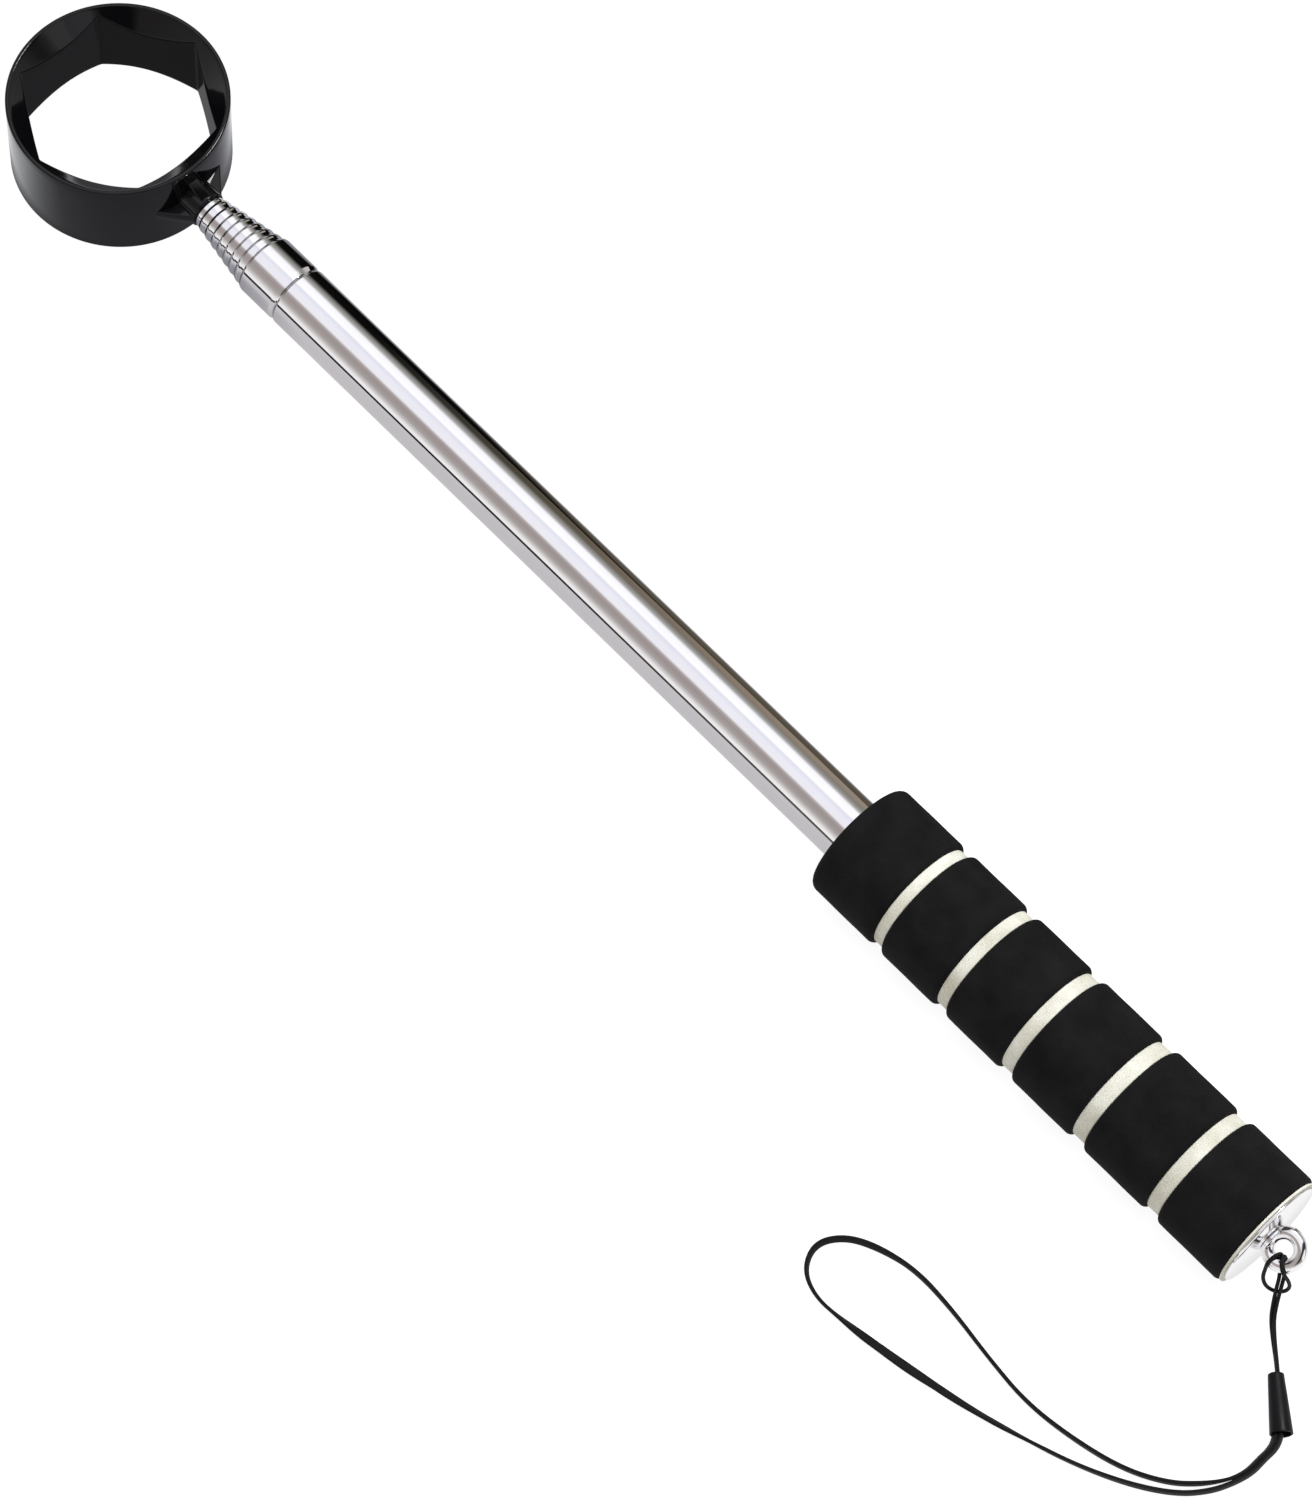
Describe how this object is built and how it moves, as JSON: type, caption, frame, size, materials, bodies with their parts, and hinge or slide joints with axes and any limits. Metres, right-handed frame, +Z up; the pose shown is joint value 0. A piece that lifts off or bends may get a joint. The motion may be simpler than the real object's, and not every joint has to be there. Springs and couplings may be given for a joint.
{
  "type": "golf ball retriever",
  "caption": "Telescoping golf ball retriever: plastic ball ring on nested steel tubes, with banded foam grip, screw eye and wrist strap.",
  "frame": {"origin": "under the middle of the retriever without its strap, on the surface that the grip lies on, tubes closed", "axes": "+X along the tubes towards the ball ring, +Z up, along the ball ring's own axis, +Y the side that the strap lies on"},
  "size_m": [0.4416, 0.1063, 0.0302],
  "materials": {
    "black_foam": "matte closed-cell EVA foam, fine grain",
    "cream_foam": "matte closed-cell EVA foam, cream",
    "chrome_tube": "polished thin steel tube, plated",
    "chrome_fitting": "bright nickel plated steel",
    "zinc": "zinc plated turned steel",
    "bush_plastic": "thin natural nylon",
    "plug_plastic": "dark grey moulded plastic",
    "black_plastic": "glossy black moulding",
    "crimp_plastic": "satin black",
    "black_cord": "thin round braided cord",
    "black_lace": "flat woven lace"
  },
  "bodies": {
    "handle": {"grip_ring_1": "black_foam", "grip_ring_2": "black_foam", "grip_ring_3": "black_foam", "grip_ring_4": "black_foam", "grip_ring_5": "black_foam", "grip_ring_6": "black_foam", "grip_spacer_1": "cream_foam", "grip_spacer_2": "cream_foam", "grip_spacer_3": "cream_foam", "grip_spacer_4": "cream_foam", "grip_spacer_5": "cream_foam", "grip_end_disc": "cream_foam", "handle_tube": "chrome_tube", "nose_collar": "chrome_tube", "butt_plug": "plug_plastic", "butt_cap": "chrome_fitting", "screw_eye": "chrome_fitting", "strap_crimp": "crimp_plastic", "hitch_cord": "black_cord", "wrist_lace": "black_lace"},
    "section_2_body": {"section_2": "chrome_tube", "section_2_bush": "bush_plastic"},
    "section_3_body": {"section_3": "chrome_tube", "section_3_bush": "bush_plastic"},
    "section_4_body": {"section_4": "chrome_tube", "section_4_bush": "bush_plastic"},
    "section_5_body": {"section_5": "chrome_tube", "section_5_bush": "bush_plastic"},
    "section_6_body": {"section_6": "chrome_tube", "section_6_bush": "bush_plastic"},
    "section_7_body": {"section_7": "chrome_tube", "section_7_bush": "bush_plastic"},
    "section_8_body": {"section_8": "chrome_tube", "section_8_bush": "bush_plastic"},
    "section_9_bush_body": {"section_9_bush": "bush_plastic"},
    "head_body": {"section_9": "chrome_tube", "tip_plug": "zinc", "head_stud": "zinc", "head_ring": "black_plastic"}
  },
  "joints": [
    {"name": "section_2_slide", "type": "slide", "parent": "handle", "child": "section_2_body", "axis": [1, 0, 0], "range_m": [0, 0.2662]},
    {"name": "section_3_slide", "type": "slide", "parent": "section_2_body", "child": "section_3_body", "axis": [1, 0, 0], "range_m": [0, 0.2873]},
    {"name": "section_4_slide", "type": "slide", "parent": "section_3_body", "child": "section_4_body", "axis": [1, 0, 0], "range_m": [0, 0.2898]},
    {"name": "section_5_slide", "type": "slide", "parent": "section_4_body", "child": "section_5_body", "axis": [1, 0, 0], "range_m": [0, 0.2924]},
    {"name": "section_6_slide", "type": "slide", "parent": "section_5_body", "child": "section_6_body", "axis": [1, 0, 0], "range_m": [0, 0.2949]},
    {"name": "section_7_slide", "type": "slide", "parent": "section_6_body", "child": "section_7_body", "axis": [1, 0, 0], "range_m": [0, 0.2975]},
    {"name": "section_8_slide", "type": "slide", "parent": "section_7_body", "child": "section_8_body", "axis": [1, 0, 0], "range_m": [0, 0.3]},
    {"name": "section_9_slide", "type": "slide", "parent": "section_8_body", "child": "section_9_bush_body", "axis": [1, 0, 0], "range_m": [0, 0.3025]},
    {"name": "head_turn", "type": "hinge", "parent": "section_9_bush_body", "child": "head_body", "pos_m": [0.15, 0, 0.0151], "axis": [1, 0, 0], "continuous": true}
  ]
}
